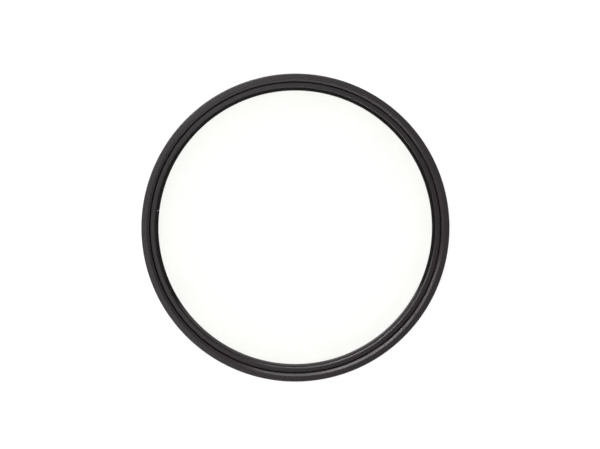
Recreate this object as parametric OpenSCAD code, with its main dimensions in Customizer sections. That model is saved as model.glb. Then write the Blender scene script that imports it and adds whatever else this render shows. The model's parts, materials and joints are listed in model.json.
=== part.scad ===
// Screw-in ultraviolet filter for a camera lens, lying on its rear thread with its front face up.
// A turned aluminium mount carries a round plane glass. A split ring of round spring wire
// snaps into a groove over the glass and holds it down on the mount's rear lip.
// The optical axis is Z. Z = 0 is the rear end face of the male thread.

/* [Thread] */
// Nominal diameter of the filter thread, rear male and front female
thread_d = 77; // [49:1:95]
// Pitch of both threads
thread_pitch = 0.75; // [0.5:0.25:1]
// Length of the rear male thread, from its end face to the rim's shoulder
rear_thread_l = 2.6; // [2:0.1:3.2]
// Depth of the front female thread, from the front face to the ledge
front_thread_l = 2.6; // [2.2:0.1:4]
// Width of the run-out groove at the inner end of each thread
runout_w = 0.4; // [0.3:0.1:0.6]
// Depth of the run-out grooves past the root of the thread
runout_depth = 0.08; // [0.02:0.02:0.2]
// Lead-in chamfer at the tip of the male thread
rear_lead = 0.3; // [0.1:0.05:0.5]
// Lead-in chamfer at the mouth of the female thread
mouth_lead = 0.58; // [0.3:0.02:0.9]
// Leg of the 45 degree relief that is turned into the ledge at the foot of the female thread
foot_relief = 0.26; // [0.1:0.02:0.5]

/* [Rim] */
// Width of the rim outside the nominal thread
rim_w = 1.6; // [1.2:0.1:3]
// Chamfer on the rim's front outer edge
rim_front_edge = 0.25; // [0.1:0.05:0.3]
// Chamfer on the rim's rear outer edge
rim_rear_edge = 0.2; // [0.1:0.05:0.3]

/* [Knurl] */
// Number of straight ridges in the grip round the rim
knurl_count = 240; // [120:10:300]
// How far the ridges lie below the plain bands, which keep them from knocks
knurl_relief = 0.06; // [0.02:0.01:0.1]
// Depth of the grooves between the ridges
knurl_depth = 0.2; // [0.1:0.02:0.3]
// Share of the pitch that a ridge keeps at its crest
knurl_crest = 0.3; // [0.1:0.05:0.5]
// Plain band between the front face and the grip
knurl_front_margin = 1; // [0.6:0.1:1.4]
// Plain band between the grip and the rear shoulder
knurl_rear_margin = 0.7; // [0.4:0.1:1.2]

/* [Glass and seat] */
// Thickness of the glass
glass_t = 1.6; // [1:0.1:2.5]
// Bevel round both edges of the glass
glass_bevel = 0.1; // [0.05:0.05:0.3]
// Gap between the edge of the glass and its pocket
glass_gap = 0.15; // [0.05:0.05:0.25]
// Thickness of the rear lip that the glass lies on
lip_t = 1.2; // [0.8:0.1:2.2]
// Width of the rear lip, from the pocket wall to the clear opening
lip_w = 0.55; // [0.4:0.05:1.5]
// Chamfer at the rear end of the clear opening
lip_rear_edge = 0.35; // [0.1:0.05:0.5]
// Width of the flat ledge between the female thread and the glass pocket
ledge_w = 1.6; // [1.4:0.05:2]
// Chamfer on the inner edge of the ledge
ledge_edge = 0.36; // [0.1:0.02:0.4]

/* [Spring ring] */
// Diameter of the spring wire that holds the glass
wire_d = 0.9; // [0.7:0.05:1.2]
// How far the wire sits in the groove of the pocket wall
wire_bite = 0.16; // [0.1:0.02:0.3]
// Clearance round the wire in its groove
wire_gap = 0.04; // [0.02:0.01:0.08]
// Distance between the top of the wire and the ledge
wire_drop = 0.5; // [0.4:0.05:0.8]
// Width of the split between the ends of the ring
split_w = 0.3; // [0.1:0.1:2]
// Direction of the split round the axis, in degrees from +X
split_angle = 173; // [0:1:359]

/* [Hidden] */
$fn = 256;
wire_fn = 48;
overcut = 1;

// Height of the basic profile of a 60 degree metric thread
thread_h = thread_pitch * sqrt(3) / 2;
// Radii of the plain crests of the two threads, and of the run-out grooves past their roots
male_crest_r = thread_d / 2;
female_crest_r = male_crest_r - thread_h * 5 / 8;
male_undercut_r = male_crest_r - thread_h * 17 / 24 - runout_depth;
female_undercut_r = male_crest_r + runout_depth;

rim_r = male_crest_r + rim_w;
knurl_r = rim_r - knurl_relief;
mouth_r = female_crest_r + mouth_lead;
pocket_r = female_crest_r - ledge_w;
lip_r = pocket_r - lip_w;
glass_r = pocket_r - glass_gap;
wire_r = wire_d / 2;
wire_centre_r = pocket_r + wire_bite - wire_r;

seat_z = lip_t;
glass_top_z = seat_z + glass_t;
wire_z = glass_top_z + wire_r;
ledge_z = glass_top_z + wire_d + wire_drop;
front_z = ledge_z + front_thread_l;

// Section of the mount, drawn as radius and height, from the clear opening round the outside
module mount_section() {
    difference() {
        polygon([
            [lip_r + lip_rear_edge, 0],
            [male_crest_r - rear_lead, 0],
            [male_crest_r, rear_lead],
            [male_crest_r, rear_thread_l - runout_w - (male_crest_r - male_undercut_r)],
            [male_undercut_r, rear_thread_l - runout_w],
            [male_undercut_r, rear_thread_l],
            [rim_r - rim_rear_edge, rear_thread_l],
            [rim_r, rear_thread_l + rim_rear_edge],
            [rim_r, front_z - rim_front_edge],
            [rim_r - rim_front_edge, front_z],
            [mouth_r, front_z],
            [female_crest_r, front_z - mouth_lead],
            [female_crest_r, ledge_z + runout_w + female_undercut_r - female_crest_r],
            [female_undercut_r, ledge_z + runout_w],
            [female_undercut_r, ledge_z - foot_relief],
            [female_crest_r, ledge_z - foot_relief],
            [female_crest_r - foot_relief, ledge_z],
            [pocket_r + ledge_edge, ledge_z],
            [pocket_r, ledge_z - ledge_edge],
            [pocket_r, seat_z],
            [lip_r, seat_z],
            [lip_r, lip_rear_edge]
        ]);
        translate([wire_centre_r, wire_z])
            circle(r = wire_r + wire_gap, $fn = wire_fn);
    }
}

// Outline of the grip: a ring of ridges with flat crests, and V grooves between them.
// Each ridge gives three corners, as a share of the pitch and a radius.
function knurl_outline() =
    let (
        pitch_angle = 360 / knurl_count,
        corners = [
            [0, knurl_r],
            [knurl_crest, knurl_r],
            [(1 + knurl_crest) / 2, knurl_r - knurl_depth]
        ]
    )
    [
        for (ridge = [0:knurl_count - 1], corner = corners)
            let (a = (ridge + corner[0]) * pitch_angle)
                corner[1] * [cos(a), sin(a)]
    ];

// What the knurling takes off the rim between its two plain bands
module knurl_cut() {
    translate([0, 0, rear_thread_l + knurl_rear_margin])
        linear_extrude(front_z - knurl_front_margin - rear_thread_l - knurl_rear_margin)
            difference() {
                circle(r = rim_r + overcut);
                polygon(knurl_outline());
            }
}

// The one-piece mount, with a thread at each end, the knurled rim and the glass pocket
module mount_ring() {
    color("#2b2a2b")
        difference() {
            rotate_extrude() mount_section();
            knurl_cut();
        }
}

// Plane-parallel glass with a bevel round both edges
module filter_glass() {
    color("#e8f0ee", 0.4)
        translate([0, 0, seat_z])
            rotate_extrude()
                polygon([
                    [0, 0],
                    [glass_r - glass_bevel, 0],
                    [glass_r, glass_bevel],
                    [glass_r, glass_t - glass_bevel],
                    [glass_r - glass_bevel, glass_t],
                    [0, glass_t]
                ]);
}

// Split ring of round wire, sprung out into the groove over the glass
module spring_ring() {
    split_turn = 2 * asin(split_w / 2 / wire_centre_r);
    color("#1d1c1c")
        translate([0, 0, wire_z])
            rotate([0, 0, split_angle + split_turn / 2])
                rotate_extrude(angle = 360 - split_turn)
                    translate([wire_centre_r, 0])
                        circle(r = wire_r, $fn = wire_fn);
}

mount_ring();
filter_glass();
spring_ring();
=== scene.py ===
# %% [markdown]
# # A screw-in ultraviolet filter, seen from almost straight above
#
# The filter is three pieces: a black anodised aluminium mount, a round glass, and a split wire
# ring that holds the glass down. The CAD model already has all three at their real size, so this
# script only gives them what the solids leave out: real threads, eased edges and finishes.
# The imported model is loaded first. Its box is kept.

# %% Load the frame
import json
import math

import bmesh
import bpy
import numpy as np
from mathutils import Matrix, Vector


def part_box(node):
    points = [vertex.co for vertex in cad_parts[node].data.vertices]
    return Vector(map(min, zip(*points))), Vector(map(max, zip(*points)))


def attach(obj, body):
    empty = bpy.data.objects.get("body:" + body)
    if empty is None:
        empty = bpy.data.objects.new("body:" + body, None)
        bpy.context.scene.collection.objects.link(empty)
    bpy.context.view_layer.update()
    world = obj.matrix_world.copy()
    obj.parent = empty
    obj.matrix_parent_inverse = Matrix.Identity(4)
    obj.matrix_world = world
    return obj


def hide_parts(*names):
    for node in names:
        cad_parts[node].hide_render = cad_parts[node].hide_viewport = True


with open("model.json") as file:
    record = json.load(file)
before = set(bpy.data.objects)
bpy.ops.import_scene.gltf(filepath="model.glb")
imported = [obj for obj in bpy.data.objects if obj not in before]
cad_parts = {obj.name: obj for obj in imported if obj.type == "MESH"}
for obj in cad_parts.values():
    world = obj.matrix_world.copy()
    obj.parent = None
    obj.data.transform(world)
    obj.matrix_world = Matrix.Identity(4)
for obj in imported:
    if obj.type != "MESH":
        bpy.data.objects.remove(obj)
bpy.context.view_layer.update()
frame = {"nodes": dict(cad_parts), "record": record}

MM = 0.001

# %% [markdown]
# ## Sizes
#
# Sizes that the solids carry are read from the frame, so that the dressed pieces always fit them.
# Only what a box can't tell is written out here, in millimetres: the thread's pitch, the small
# chamfers and the knurl. They are the same values that a turner would read off the drawing.
# A metric thread's depth is a share of the height of its sharp 60 degree profile: 17/24 of it
# for a male thread and 5/8 for a female one.

# %% Read the sizes from the frame
mounts = {mount["name"]: mount for mount in frame["record"]["mounts"]}
mount_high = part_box("mount_ring")[1]
wire_low, wire_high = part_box("spring_ring")

rim_r = mount_high[0]
front_z = mount_high[2]
seat_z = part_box("filter_glass")[0][2]
wire_r = (wire_high[2] - wire_low[2]) / 2
wire_z = wire_low[2] + wire_r
wire_centre_r = wire_high[1] - wire_r
male_crest_r = mounts["rear_thread"]["dims"]["r_mm"] * MM
print(f"radii in mm: rim {rim_r / MM:.2f}, male crest {male_crest_r / MM:.2f}, "
      f"middle of the wire {wire_centre_r / MM:.2f}")

# %% Sizes that the boxes don't tell
thread_pitch = 0.75 * MM
rear_thread_l = 2.6 * MM
front_thread_l = 2.6 * MM
runout_w = 0.4 * MM
runout_depth = 0.08 * MM
rear_lead = 0.3 * MM
mouth_lead = 0.58 * MM
foot_relief = 0.26 * MM
rim_front_edge = 0.25 * MM
rim_rear_edge = 0.2 * MM
knurl_count = 240
knurl_relief = 0.06 * MM
knurl_depth = 0.2 * MM
knurl_crest = 0.3
knurl_front_margin = 1.0 * MM
knurl_rear_margin = 0.7 * MM
lip_w = 0.55 * MM
lip_rear_edge = 0.35 * MM
ledge_w = 1.6 * MM
ledge_edge = 0.36 * MM
wire_gap = 0.04 * MM
split_w = 0.3 * MM
split_angle = math.radians(173)

thread_h = thread_pitch * math.sqrt(3) / 2
male_depth = thread_h * 17 / 24
female_depth = thread_h * 5 / 8
female_crest_r = male_crest_r - female_depth
male_undercut_r = male_crest_r - male_depth - runout_depth
female_undercut_r = male_crest_r + runout_depth
pocket_r = female_crest_r - ledge_w
lip_r = pocket_r - lip_w
ledge_z = front_z - front_thread_l
knurl_low_z = rear_thread_l + knurl_rear_margin
knurl_high_z = front_z - knurl_front_margin
knurl_r = rim_r - knurl_relief
print(f"female crest {female_crest_r / MM:.2f}, pocket {pocket_r / MM:.2f}, ledge at {ledge_z / MM:.2f} mm")

# %% [markdown]
# ## The outline of the mount
#
# The mount was turned from one bar, so its form is a section carried round the axis. The section
# could be spun by a modifier, but then the threads would have to be cut by a boolean, which leaves
# ragged meshes. Here the section is a closed list of corners, and every surface point is worked
# out from it by a formula, threads included.
#
# No turned edge is truly sharp. Each corner is replaced by a short curve, a tenth of a millimetre
# long at most, and that is what catches the light along the edges.
#
# Two small cuts make the dark line that runs round inside the front chamfer: the relief turned
# into the ledge at the foot of the female thread, and the run-out groove just behind it.

# %% The corners of the section, as radius and height
groove_points = 7
groove_r = wire_r + wire_gap
groove_half = math.acos((pocket_r - wire_centre_r) / groove_r)
groove_turns = np.linspace(-1, 1, groove_points) * groove_half
groove = np.column_stack([
    wire_centre_r + groove_r * np.cos(groove_turns),
    wire_z - groove_r * np.sin(groove_turns),
])

outside = np.array([
    [rim_r, knurl_low_z],
    [rim_r, rear_thread_l + rim_rear_edge],
    [rim_r - rim_rear_edge, rear_thread_l],
    [male_undercut_r, rear_thread_l],
    [male_undercut_r, rear_thread_l - runout_w],
    [male_crest_r, rear_thread_l - runout_w - (male_crest_r - male_undercut_r)],
    [male_crest_r, rear_lead],
    [male_crest_r - rear_lead, 0],
    [lip_r + lip_rear_edge, 0],
    [lip_r, lip_rear_edge],
    [lip_r, seat_z],
    [pocket_r, seat_z],
])
inside = np.array([
    [pocket_r, ledge_z - ledge_edge],
    [pocket_r + ledge_edge, ledge_z],
    [female_crest_r - foot_relief, ledge_z],
    [female_crest_r, ledge_z - foot_relief],
    [female_undercut_r, ledge_z - foot_relief],
    [female_undercut_r, ledge_z + runout_w],
    [female_crest_r, ledge_z + runout_w + female_undercut_r - female_crest_r],
    [female_crest_r, front_z - mouth_lead],
    [female_crest_r + mouth_lead, front_z],
    [rim_r - rim_front_edge, front_z],
    [rim_r, front_z - rim_front_edge],
    [rim_r, knurl_high_z],
])
corners = np.vstack([outside, groove[::-1], inside])
print("section:", len(corners), "corners")


# %% Ease the corners and add rows on the threaded walls
edge_ease = 0.05 * MM
most_of_side = 0.4
wall_row = 0.06 * MM


def eased(points, reach, steps=5):
    """Each inner corner becomes a parabola that leaves one side and joins the other. Its points
    are (1-t)^2 a + 2t(1-t) c + t^2 b, where c is the corner and a, b lie on its two sides, at
    most reach away and at most at most_of_side of the side's length."""
    corner = points[1:-1]
    back, ahead = points[:-2] - corner, points[2:] - corner
    back_l = np.linalg.norm(back, axis=1, keepdims=True)
    ahead_l = np.linalg.norm(ahead, axis=1, keepdims=True)
    a = corner + back / back_l * np.minimum(reach, back_l * most_of_side)
    b = corner + ahead / ahead_l * np.minimum(reach, ahead_l * most_of_side)
    t = np.linspace(0, 1, steps)[None, :, None]
    curve = (1 - t) ** 2 * a[:, None] + 2 * t * (1 - t) * corner[:, None] + t ** 2 * b[:, None]
    return np.vstack([points[:1], curve.reshape(-1, 2), points[-1:]])


def with_rows(points, is_wall, step):
    """Every side of the outline that is_wall picks is cut into equal parts no longer than step.
    A part's start is its side's start plus its share of the way to the side's end."""
    side = np.diff(points, axis=0)
    middle = points[:-1] + side / 2
    parts = np.where(is_wall(middle), np.ceil(np.linalg.norm(side, axis=1) / step), 1).astype(int)
    first = np.cumsum(parts) - parts
    which = np.repeat(np.arange(len(side)), parts)
    share = (np.arange(parts.sum()) - first[which]) / parts[which]
    return np.vstack([points[:-1][which] + side[which] * share[:, None], points[-1:]])


def on_male_wall(rz):
    """Points of the rear thread: below its shoulder, and no nearer to the axis than its groove."""
    return (rz[:, 1] < rear_thread_l) & (rz[:, 0] > male_undercut_r - edge_ease)


def on_female_wall(rz):
    """Points of the front thread: above the ledge, and no further out than the lead-in chamfer."""
    return (rz[:, 1] > ledge_z) & (rz[:, 0] < female_crest_r + mouth_lead)


section = with_rows(
    eased(corners, edge_ease), lambda rz: on_male_wall(rz) | on_female_wall(rz), wall_row
)
print("section:", len(section), "rows after easing")


# %% [markdown]
# ## Threads and knurl
#
# A filter thread has a 60 degree V groove that climbs 0.75 mm in one turn. Seen as a height map,
# the groove's depth at any angle and height depends only on how far that point is from the
# groove's middle line, measured along the axis. The surface is then the deeper of the plain
# turned wall and the groove, so that the groove ends by itself in the run-out, as on a lathe.
# At the mouth the chamfer is turned last, and the groove is made to die out just below it, so
# that the chamfer stays an even band all round.
#
# The grip is a ring of straight ridges. It needs more columns than the rest of the ring, so it is
# a band of its own, sewn to the plain rims through its two flat shoulders.

# %% The surface of the mount as a grid
male_crest_flat = thread_pitch / 8
female_crest_flat = thread_pitch / 4
flank_angle = math.radians(30)
mouth_fade = 0.3 * MM


def thread_groove(angle, z, crest_flat, depth):
    """Depth of a 60 degree V groove: the distance in from the groove's edge, divided by the
    tangent of the flank's angle, between 0 and the full depth. The middle line climbs one
    pitch a turn."""
    along = (z - thread_pitch * angle / (2 * np.pi)) / thread_pitch
    from_middle = np.abs(along % 1 - 0.5) * thread_pitch
    half_width = (thread_pitch - crest_flat) / 2
    return np.clip((half_width - from_middle) / math.tan(flank_angle), 0, depth)


def turned_surface(rz, columns):
    """Points (r cos a, r sin a, z), where r is the section's radius, cut back by the male groove
    on the rear wall and out by the female groove on the front wall. The female groove's depth
    shrinks to nothing over mouth_fade, so that the lead-in chamfer stays whole."""
    angle = np.linspace(0, 2 * np.pi, columns, endpoint=False)[:, None]
    radius, z = (np.broadcast_to(value, (columns, len(rz))) for value in rz.T)
    male = male_crest_r - thread_groove(angle, z, male_crest_flat, male_depth)
    to_mouth = np.clip((front_z - mouth_lead - z) / mouth_fade, 0, 1)
    female = female_crest_r + thread_groove(angle, z, female_crest_flat, female_depth) * to_mouth
    radius = np.where(on_male_wall(rz), np.minimum(radius, male), radius)
    radius = np.where(on_female_wall(rz), np.maximum(radius, female), radius)
    return np.stack([radius * np.cos(angle), radius * np.sin(angle), z], axis=-1)


def knurl_surface():
    """Two rows of points round the grip. Each ridge has corners at shares 0 and crest of the
    pitch, on the crest radius, and one half way to the next ridge, at the groove's depth."""
    shares = np.array([0, knurl_crest, (1 + knurl_crest) / 2])
    radii = np.array([knurl_r, knurl_r, knurl_r - knurl_depth])
    angle = (np.arange(knurl_count)[:, None] + shares).ravel() * 2 * np.pi / knurl_count
    radius = np.tile(radii, knurl_count)
    flat = np.stack([radius * np.cos(angle), radius * np.sin(angle)], axis=-1)[:, None]
    heights = np.broadcast_to([[knurl_low_z], [knurl_high_z]], (len(angle), 2, 1))
    return np.concatenate([np.broadcast_to(flat, (len(angle), 2, 2)), heights], axis=-1)


turned = turned_surface(section, knurl_count)
grip = knurl_surface()
print("turned grid", turned.shape[:2], "grip grid", grip.shape[:2])


# %% Faces of a grid
def band_faces(columns, rows, start=0):
    """Four-sided faces between neighbouring columns and rows, closed round the columns."""
    index = start + np.arange(columns * rows).reshape(columns, rows)
    after = np.roll(index, -1, axis=0)
    return np.stack([index[:, :-1], index[:, 1:], after[:, 1:], after[:, :-1]], axis=-1).reshape(-1, 4)


def shoulder_faces(plain, ridged, flip):
    """Flat faces between two neighbouring points of the plain rim and the four of one ridge."""
    fine = np.column_stack([ridged.reshape(-1, 3), np.roll(ridged[::3], -1)])
    faces = np.column_stack([plain, fine, np.roll(plain, -1)])
    return faces[:, ::-1] if flip else faces


print("a band of 3 columns and 3 rows has", len(band_faces(3, 3)), "faces")


# %% A mesh from points, and its volume
def add_mesh(name, points, faces, smooth_angle=30):
    """An object at the origin, with its place in its mesh, and smooth where neighbouring faces
    turn by less than smooth_angle, in degrees."""
    mesh = bpy.data.meshes.new(name)
    mesh.from_pydata(points.reshape(-1, 3).tolist(), [], faces)
    mesh.validate()
    mesh.shade_smooth()
    mesh.set_sharp_from_angle(angle=math.radians(smooth_angle))
    piece = bpy.data.objects.new(name, mesh)
    bpy.context.scene.collection.objects.link(piece)
    return piece


def volume_and_open_edges(piece):
    """Volume in mm3, positive when the faces point outwards, and the number of edges that don't
    join exactly two faces."""
    work = bmesh.new()
    work.from_mesh(piece.data)
    volume = work.calc_volume(signed=True)
    open_edges = sum(1 for edge in work.edges if not edge.is_manifold)
    work.free()
    return round(volume / MM ** 3, 1), open_edges


plain_mount = frame["nodes"]["mount_ring"]
print("the plain CAD mount has", volume_and_open_edges(plain_mount)[0], "mm3")

# %% Build the mount
columns, rows = turned.shape[:2]
grip_start = columns * rows
grip_columns = len(grip)
plain_index = np.arange(columns) * rows
grip_index = grip_start + np.arange(grip_columns) * 2
mount_faces = (
    band_faces(columns, rows).tolist()
    + band_faces(grip_columns, 2, grip_start)[:, ::-1].tolist()
    + shoulder_faces(plain_index, grip_index, True).tolist()
    + shoulder_faces(plain_index + rows - 1, grip_index + 1, False).tolist()
)
mount_points = np.vstack([turned.reshape(-1, 3), grip.reshape(-1, 3)])
mount_smooth_angle = 25
threaded_mount = add_mesh("threaded_mount", mount_points, mount_faces, mount_smooth_angle)
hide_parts("mount_ring")
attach(threaded_mount, "root")
print("threaded_mount: volume and open edges", volume_and_open_edges(threaded_mount))

# %% [markdown]
# ## Shading of the flats
#
# Where a wide flat meets the narrow faces of an eased edge, smooth shading bends the light over
# the whole flat. More faces would cure it slowly. The Weighted Normal modifier cures it at once,
# because at each point the larger face decides which way the surface looks.

# %% Let the large faces lead the shading
evener = threaded_mount.modifiers.new("flat faces first", "WEIGHTED_NORMAL")
evener.mode = "FACE_AREA"
evener.weight = 80
evener.keep_sharp = True
print("modifiers:", [modifier.name for modifier in threaded_mount.modifiers])

# %% [markdown]
# ## The spring ring
#
# The ring is a length of round spring wire, bent to a circle a little too large and let go in its
# groove. A curve with a bevel would do, but a formula keeps the ends exact: a circle carried
# round an arc that stops short of a full turn. Cutters leave the two ends at a slant, which is
# why the split shows from above as a fine oblique line and not as a hole.

# %% Carry the wire's circle round its arc
wire_end_ease = 0.03 * MM
wire_sides = 32
slant_down, slant_across = math.tan(math.radians(11)), math.tan(math.radians(20))
slant_reach = 3 * MM


def wire_surface(around=480, end_rows=4):
    """Points ((R + s cos b) cos a, (R + s cos b) sin a, s sin b): a circle of radius s stands
    square to the ring's middle line of radius R. At distance d from a cut end, s follows a
    quarter circle, so that the end is eased all round. Near the ends the circles lean: a grows
    with a point's height and radius, by one slant each, and this fades with d."""
    half_split = math.asin(split_w / 2 / wire_centre_r)
    length = (2 * np.pi - 2 * half_split) * wire_centre_r
    turn = np.linspace(0, np.pi / 2, end_rows)
    end_path = wire_end_ease * (1 - np.cos(turn))
    end_cut = wire_end_ease * (1 - np.sin(turn))
    middle = np.linspace(wire_end_ease, length - wire_end_ease, around)[1:-1]
    path = np.concatenate([end_path, middle, length - end_path[::-1]])
    thickness = wire_r - np.concatenate([end_cut, np.zeros(len(middle)), end_cut[::-1]])
    b = np.linspace(0, 2 * np.pi, wire_sides, endpoint=False)[:, None]
    lean = np.clip(1 - np.minimum(path, length - path) / slant_reach, 0, 1)
    along = path + lean * thickness * (slant_down * np.sin(b) + slant_across * np.cos(b))
    a = split_angle + half_split + along / wire_centre_r
    r = wire_centre_r + thickness * np.cos(b)
    return np.stack([r * np.cos(a), r * np.sin(a), wire_z + thickness * np.sin(b)], axis=-1)


wire = wire_surface()
wire_rows = wire.shape[1]
first_end = np.arange(wire_sides) * wire_rows
wire_faces = band_faces(*wire.shape[:2]).tolist()
wire_faces += [first_end.tolist(), (first_end + wire_rows - 1)[::-1].tolist()]
wire_smooth_angle = 40
split_wire = add_mesh("split_wire", wire, wire_faces, wire_smooth_angle)
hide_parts("spring_ring")
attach(split_wire, "root")
print("split_wire: volume and open edges", volume_and_open_edges(split_wire))

# %% [markdown]
# ## Materials
#
# Three finishes make the filter: black anodised aluminium, black oxide on spring steel, and
# coated glass. All their patterns are computed from Object coordinates, so they stay at the
# right size whatever the mesh is. One helper adds a node, sets it and links it, one turns the
# colours of a paint chart into the linear values that a render needs, and one measures how far
# a point is from the axis, because all three finishes follow the round form.

# %% Helpers for materials
def linear(hex_colour):
    """sRGB hex to linear RGBA: c / 12.92 below 0.04045, else ((c + 0.055) / 1.055) ^ 2.4."""
    srgb = [int(hex_colour[i:i + 2], 16) / 255 for i in (1, 3, 5)]
    return [c / 12.92 if c <= 0.04045 else ((c + 0.055) / 1.055) ** 2.4 for c in srgb] + [1.0]


def add_node(tree, kind, inputs=None, **settings):
    """Adds a node, sets its properties, and fills each input with a value or a link."""
    node = tree.nodes.new(kind)
    for name, value in settings.items():
        setattr(node, name, value)
    for name, value in (inputs or {}).items():
        if isinstance(value, bpy.types.NodeSocket):
            tree.links.new(value, node.inputs[name])
        else:
            node.inputs[name].default_value = value
    return node


def new_material(name):
    """A material with an empty node tree, and its output node."""
    material = bpy.data.materials.new(name)
    material.use_nodes = True
    material.node_tree.nodes.clear()
    return material, material.node_tree, material.node_tree.nodes.new("ShaderNodeOutputMaterial")


def axis_distance(tree, place):
    """A point's distance from the axis, which is the length of (x, y, 0)."""
    flat = add_node(tree, "ShaderNodeVectorMath", {0: place, 1: (1, 1, 0)}, operation="MULTIPLY")
    return add_node(tree, "ShaderNodeVectorMath", {0: flat.outputs[0]}, operation="LENGTH").outputs["Value"]


print("the grey #808080 is", round(linear("#808080")[0], 3), "in linear light")


# %% [markdown]
# ## Black anodised aluminium
#
# The mount was turned, blasted with fine beads and then anodised and dyed. To the eye that gives
# a nearly black, satin surface: turning leaves faint rings round the axis, blasting leaves an
# even grain, and the dyed oxide layer keeps the highlights grey and soft. The rings come from
# noise that depends only on radius and height, so each is a true circle. The oxide's pores drink
# the dye and scatter what a smooth coat would mirror, so the specular level is under half the
# usual 0.5.
#
# Fingers have rubbed the crests of the grip a little paler than its grooves. The wear could be
# painted on the mesh, but it lies where the radius is greatest, and a node can ask for that.
#
# Beads of this kind leave dimples of about 0.08 mm, and the tool's feed is about 0.1 mm a turn.
# Both are finer than a pixel of the picture, so they are drawn about twice as coarse.

# %% Black anodised aluminium
blast_grain = 0.16 * MM
grain_bump_height = 0.002 * MM
turning_feed = 0.25 * MM
ring_bump_height = 0.0015 * MM
handled_depth = 0.08 * MM


def black_anodised_aluminium():
    """Dark dye mottled by the grain and paler on the grip's crests. The grain sets the roughness,
    and ring and grain bumps lie on top of each other."""
    material, tree, output = new_material("black_anodised_aluminium")
    place = add_node(tree, "ShaderNodeTexCoord").outputs["Object"]
    radius = axis_distance(tree, place)
    height = add_node(tree, "ShaderNodeSeparateXYZ", {0: place}).outputs["Z"]
    lathe_place = add_node(tree, "ShaderNodeCombineXYZ", {"X": radius, "Y": height})
    rings = add_node(tree, "ShaderNodeTexNoise", {
        "Vector": lathe_place.outputs[0], "Scale": 1 / turning_feed, "Detail": 2.0,
    }, noise_dimensions="2D")
    grain = add_node(tree, "ShaderNodeTexNoise", {
        "Vector": place, "Scale": 1 / blast_grain, "Detail": 3.0, "Roughness": 0.6,
    })
    dye = add_node(tree, "ShaderNodeMix", {
        "Factor": grain.outputs["Fac"], "A": linear("#251e20"), "B": linear("#30282a"),
    }, data_type="RGBA")
    handled = add_node(tree, "ShaderNodeMapRange", {
        "Value": radius, "From Min": knurl_r - handled_depth, "From Max": knurl_r,
    })
    dye = add_node(tree, "ShaderNodeMix", {
        "Factor": handled.outputs["Result"], "A": dye.outputs["Result"], "B": linear("#3a3637"),
    }, data_type="RGBA")
    satin = add_node(tree, "ShaderNodeMapRange", {
        "Value": grain.outputs["Fac"], "From Min": 0.3, "From Max": 0.7, "To Min": 0.24, "To Max": 0.31,
    })
    ring_bump = add_node(tree, "ShaderNodeBump", {
        "Height": rings.outputs["Fac"], "Strength": 1.0, "Distance": ring_bump_height,
    })
    grain_bump = add_node(tree, "ShaderNodeBump", {
        "Height": grain.outputs["Fac"], "Strength": 1.0, "Distance": grain_bump_height,
        "Normal": ring_bump.outputs["Normal"],
    })
    surface = add_node(tree, "ShaderNodeBsdfPrincipled", {
        "Base Color": dye.outputs["Result"], "Roughness": satin.outputs["Result"],
        "Metallic": 0.0, "Specular IOR Level": 0.22, "Normal": grain_bump.outputs["Normal"],
    })
    tree.links.new(surface.outputs["BSDF"], output.inputs["Surface"])
    return material


threaded_mount.data.materials.append(black_anodised_aluminium())
print("materials:", [material.name for material in threaded_mount.data.materials])

# %% [markdown]
# ## Black oxide on spring steel
#
# Spring wire is drawn through a die and then blackened in a hot bath. The oxide is thin and matt:
# rougher to the light than the dyed ring and half as shiny, so it stays darker. It has fine
# lines along its length, from noise in the wire's own section, and a slow change of tone from
# the bath.
#
# On one arc, round the bottom of the picture, the oxide is painted a paler grey. This is painted light:
# it stands in for the light that falls over the rim onto the wire's inner side there. That arc
# could be painted with a mask, but a formula is enough: the distance of a point along the arc's
# middle direction is a dot product, and it is large only inside the arc. The arc's middle, half
# its length and its soft ends are given as clock angles.
#
# Drawing lines are a few hundredths of a millimetre apart. They are drawn 0.12 mm apart, so that
# a close view still shows them.

# %% Black oxide on spring steel
draw_line = 0.12 * MM
line_bump_height = 0.002 * MM
bath_cloud = 2.5 * MM
# The arc that is painted paler as painted light: its middle, half its length and its soft ends.
lit_arc_clock, lit_arc_half, lit_arc_edge = (math.radians(v) for v in (176, 60, 4))


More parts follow.
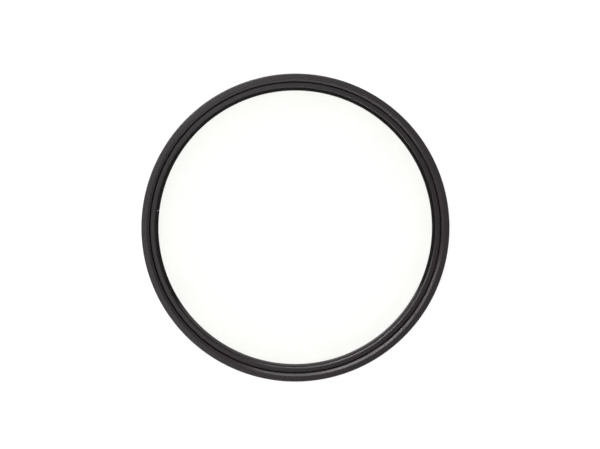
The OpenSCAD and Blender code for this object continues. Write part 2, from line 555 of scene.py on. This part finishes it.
def black_oxide_steel():
    """Near-black oxide that clouds a little, painted paler on one arc as painted light, with a bump of
    fine lines along the wire. The clouds also set the roughness."""
    material, tree, output = new_material("black_oxide_spring_steel")
    place = add_node(tree, "ShaderNodeTexCoord").outputs["Object"]
    radius = axis_distance(tree, place)
    height = add_node(tree, "ShaderNodeSeparateXYZ", {0: place}).outputs["Z"]
    across = add_node(tree, "ShaderNodeCombineXYZ", {"X": radius, "Y": height})
    lines = add_node(tree, "ShaderNodeTexNoise", {
        "Vector": across.outputs[0], "Scale": 1 / draw_line, "Detail": 1.0,
    }, noise_dimensions="2D")
    bath = add_node(tree, "ShaderNodeTexNoise", {
        "Vector": place, "Scale": 1 / bath_cloud, "Detail": 2.0,
    })
    oxide = add_node(tree, "ShaderNodeMix", {
        "Factor": bath.outputs["Fac"], "A": linear("#0c0b0b"), "B": linear("#151313"),
    }, data_type="RGBA")
    arc_middle = add_node(tree, "ShaderNodeVectorMath", {
        0: place, 1: (math.sin(lit_arc_clock), math.cos(lit_arc_clock), 0),
    }, operation="DOT_PRODUCT")
    painted_lit_arc = add_node(tree, "ShaderNodeMapRange", {
        "Value": arc_middle.outputs["Value"],
        "From Min": wire_centre_r * math.cos(lit_arc_half + lit_arc_edge),
        "From Max": wire_centre_r * math.cos(lit_arc_half - lit_arc_edge),
    }, interpolation_type="SMOOTHSTEP")
    # Painted light: inside the arc the oxide turns pale grey, standing in for light falling on the wire.
    oxide = add_node(tree, "ShaderNodeMix", {
        "Factor": painted_lit_arc.outputs["Result"], "A": oxide.outputs["Result"], "B": linear("#524f50"),
    }, data_type="RGBA")
    gloss = add_node(tree, "ShaderNodeMapRange", {
        "Value": bath.outputs["Fac"], "From Min": 0.3, "From Max": 0.7, "To Min": 0.45, "To Max": 0.55,
    })
    line_bump = add_node(tree, "ShaderNodeBump", {
        "Height": lines.outputs["Fac"], "Strength": 1.0, "Distance": line_bump_height,
    })
    surface = add_node(tree, "ShaderNodeBsdfPrincipled", {
        "Base Color": oxide.outputs["Result"], "Roughness": gloss.outputs["Result"],
        "Metallic": 0.0, "Specular IOR Level": 0.1, "Normal": line_bump.outputs["Normal"],
    })
    tree.links.new(surface.outputs["BSDF"], output.inputs["Surface"])
    return material


split_wire.data.materials.append(black_oxide_steel())
print("materials:", [material.name for material in split_wire.data.materials])

# %% [markdown]
# ## Coated glass
#
# The glass is polished flat and has an anti-reflection coating on both sides. It looks almost
# like air from above, with the faintest warm tint. Bare glass mirrors 4% of the light at each
# side and the coating leaves less than half a percent, so the specular level is a tenth of the
# usual 0.5. Towards the spring ring the glass is painted a darker, warmer tint: painted shade,
# standing in for the ring's shade on the paper seen through it. It starts half way out, is
# strongest at the spring ring, and wanders a little.

# %% Coated glass
tint_cloud = 9 * MM


def coated_glass():
    """Clear glass whose colour goes from white to a clouded, darker warm tint as the radius grows:
    painted shade of the ring near the rim.
    """
    material, tree, output = new_material("coated_optical_glass")
    place = add_node(tree, "ShaderNodeTexCoord").outputs["Object"]
    radius = axis_distance(tree, place)
    haze = add_node(tree, "ShaderNodeTexNoise", {
        "Vector": place, "Scale": 1 / tint_cloud, "Detail": 2.0,
    })
    # Painted shade: the glass is tinted darker and warmer towards the spring ring.
    rim_shade_colour = add_node(tree, "ShaderNodeMix", {
        "Factor": haze.outputs["Fac"], "A": linear("#f1f1ed"), "B": linear("#f7f7f4"),
    }, data_type="RGBA")
    rim_shade_share = add_node(tree, "ShaderNodeMapRange", {
        "Value": radius, "From Min": wire_centre_r / 2, "From Max": wire_centre_r,
    })
    tint = add_node(tree, "ShaderNodeMix", {
        "Factor": rim_shade_share.outputs["Result"], "A": linear("#fbfbfb"), "B": rim_shade_colour.outputs["Result"],
    }, data_type="RGBA")
    surface = add_node(tree, "ShaderNodeBsdfPrincipled", {
        "Base Color": tint.outputs["Result"], "Roughness": 0.0, "IOR": 1.52,
        "Transmission Weight": 1.0, "Specular IOR Level": 0.05,
    })
    tree.links.new(surface.outputs["BSDF"], output.inputs["Surface"])
    return material


filter_glass = frame["nodes"]["filter_glass"]
filter_glass.data.materials.clear()
filter_glass.data.materials.append(coated_glass())
print("materials:", [material.name for material in filter_glass.data.materials])

# %% [markdown]
# ## Floor and surround
#
# The filter lies on a sheet of white paper in a white surround. Strong lamps could bleach both to
# white, but they would bleach the black ring as well. Instead the paper and the world are plain
# white only to the rays that show them: those straight from the camera, those mirrored in a
# surface and those bent through the glass. To the light that falls on the filter the paper is
# an ordinary pale surface and the world is nearly dark. A part of the paper's look still comes
# from the lamps, so it keeps the ring's soft shadow. From below the paper is clear, so that the
# back of the filter can be looked at too, and it lies a hair lower than the filter's end face,
# because two faces at the same height would flicker through each other.

# %% The white floor
floor_half = 1.5
floor_drop = 0.01 * MM
paper_glow = 0.97


def seen_rays(tree):
    """1 for a ray from the camera, a mirrored one or one bent through glass, and 0 for others."""
    rays = add_node(tree, "ShaderNodeLightPath").outputs
    seen = rays["Is Camera Ray"]
    for kind in ("Is Glossy Ray", "Is Transmission Ray"):
        larger = add_node(tree, "ShaderNodeMath", {0: seen, 1: rays[kind]}, operation="MAXIMUM")
        seen = larger.outputs[0]
    return seen


def white_paper():
    """White with a little shading to the rays that show it, pale paper to the others, and clear
    from below."""
    material, tree, output = new_material("white_paper")
    shaded = add_node(tree, "ShaderNodeBsdfDiffuse", {"Color": linear("#6e6e6e")})
    white = add_node(tree, "ShaderNodeEmission", {"Color": linear("#ffffff"), "Strength": paper_glow})
    shown = add_node(tree, "ShaderNodeAddShader", {0: shaded.outputs[0], 1: white.outputs[0]})
    paper = add_node(tree, "ShaderNodeBsdfDiffuse", {"Color": linear("#e8e8e6")})
    top = add_node(tree, "ShaderNodeMixShader", {
        0: seen_rays(tree), 1: paper.outputs[0], 2: shown.outputs[0],
    })
    nothing = add_node(tree, "ShaderNodeBsdfTransparent")
    sheet = add_node(tree, "ShaderNodeMixShader", {
        0: add_node(tree, "ShaderNodeNewGeometry").outputs["Backfacing"],
        1: top.outputs[0], 2: nothing.outputs[0],
    })
    tree.links.new(sheet.outputs[0], output.inputs["Surface"])
    return material


floor_corners = np.array([[-1, -1, 0], [1, -1, 0], [1, 1, 0], [-1, 1, 0]]) * floor_half
floor_corners[:, 2] = -floor_drop
floor = add_mesh("floor", floor_corners, [[0, 1, 2, 3]])
floor.data.materials.append(white_paper())
print("floor:", 2 * floor_half, "m wide")

# %% The white surround
dim_grey = 0.05
world = bpy.data.worlds.new("studio")
world.use_nodes = True
world_tree = world.node_tree
world_tree.nodes.clear()
world_light = add_node(world_tree, "ShaderNodeMix", {
    "Factor": seen_rays(world_tree), "A": (dim_grey, dim_grey, dim_grey, 1), "B": linear("#ffffff"),
}, data_type="RGBA")
background = add_node(world_tree, "ShaderNodeBackground", {"Color": world_light.outputs["Result"]})
add_node(world_tree, "ShaderNodeOutputWorld", {"Surface": background.outputs[0]})
bpy.context.scene.world = world
print("world:", len(world_tree.nodes), "nodes")

# %% [markdown]
# ## Lamps
#
# A turned ring is a set of narrow mirrors, and each kind takes its light from one height. The
# chamfers stand at 45 degrees, so from above they mirror the horizon, where low strips of light
# stand round the filter. The flats look straight up, and take their light from two small lamps
# high above, just outside the cone that the glass mirrors into the camera. A wide window and a
# softbox light the walls and the grip.
#
# A sky picture on the world could do the same, but no image is used here, and a lamp that has a
# name and a power is easier to change. To find the powers, light one lamp at a time: such
# pictures add up to the picture with all of them. The directions are clock angles, in degrees
# from the picture's top. A low lamp lights the chamfers that face inwards across from it, and
# those that face outwards on its own side.

# %% Where a lamp or a camera stands
def facing(direction, distance, middle=Vector((0, 0, 0)), upright=Vector((0, 1, 0))):
    """The place is middle + distance * direction. The turn has the direction as its back axis,
    and the part of upright that is square to it as its top axis."""
    back = direction.normalized()
    upward = (upright - back * back.dot(upright)).normalized()
    turn = Matrix((upward.cross(back), upward, back)).transposed().to_4x4()
    return Matrix.Translation(middle + back * distance) @ turn


def soft_lamp(name, clock_deg, elevation_deg, power, distance, width, height):
    """An oblong lamp that faces the filter. Its direction is (sin c cos e, cos c cos e, sin e),
    where the clock angle c turns clockwise from the picture's top."""
    clock, elevation = math.radians(clock_deg), math.radians(elevation_deg)
    direction = Vector((
        math.sin(clock) * math.cos(elevation), math.cos(clock) * math.cos(elevation), math.sin(elevation),
    ))
    lamp = bpy.data.objects.new(name, bpy.data.lights.new(name, "AREA"))
    lamp.data.shape = "RECTANGLE"
    lamp.data.size, lamp.data.size_y = width, height
    lamp.data.energy = power
    lamp.matrix_world = facing(direction, distance, upright=Vector((0, 0, 1)))
    lamp.visible_camera = False
    bpy.context.scene.collection.objects.link(lamp)


straight_above = facing(Vector((0, 0, 1)), 1)
print("a lamp straight above looks along", tuple(-straight_above.col[2].to_3d()))

# %% Set up the lamps, with their powers in watts by clock angle
horizon_elevation = 4
overhead_elevation = 74
horizon_power = {
    0: 0.68, 108: 0.04, 144: 0.21, 180: 0.27,
    216: 0.33, 252: 0.04, 300: 0.60, 331: 1.16,
}
overhead_power = {230: 0.22, 330: 0.48}
for clock, power in horizon_power.items():
    soft_lamp(f"horizon_{clock}", clock, horizon_elevation, power, distance=0.5, width=0.32, height=0.03)
for clock, power in overhead_power.items():
    soft_lamp(f"overhead_{clock}", clock, overhead_elevation, power, distance=0.5, width=0.08, height=0.08)
soft_lamp("high_window", 345, 26, power=0.3, distance=0.5, width=0.60, height=0.10)
soft_lamp("softbox", 300, 58, power=0.75, distance=0.6, width=0.35, height=0.25)
lamps = [thing for thing in bpy.data.objects if thing.type == "LIGHT"]
print("lamps:", len(lamps), "with", round(sum(lamp.data.energy for lamp in lamps), 2), "W in all")

# %% [markdown]
# ## Camera
#
# The camera looks down almost along the axis, two degrees off it, which is what shifts the inner
# circles against the outer one. It could be placed by eye, but its distance and lens follow from
# two numbers read off the picture: the rim's radius and the place of its centre, in pixels.

# %% The camera, almost straight above
picture_w, picture_h = 600, 449
ring_radius_px = 153.75
ring_centre_px = (295.5, 227.65)
camera_distance = 0.65
camera_lean = Vector((-0.0235, 0.0275, 1))
sensor_w = 36
nearest_shown = 0.01

middle = Vector((0, 0, (rear_thread_l + front_z) / 2))
px_size = rim_r / ring_radius_px
aim = middle + Vector((picture_w / 2 - ring_centre_px[0], ring_centre_px[1] - picture_h / 2, 0)) * px_size
camera = bpy.data.objects.new("camera", bpy.data.cameras.new("camera"))
camera.data.sensor_width = sensor_w
camera.data.lens = sensor_w / picture_w * camera_distance / px_size
camera.matrix_world = facing(camera_lean, camera_distance, aim)
camera.data.clip_start = nearest_shown
bpy.context.scene.collection.objects.link(camera)
bpy.context.scene.camera = camera
bpy.context.scene.view_settings.view_transform = "Standard"
print(f"camera lens {camera.data.lens:.1f} mm at {camera_distance} m")
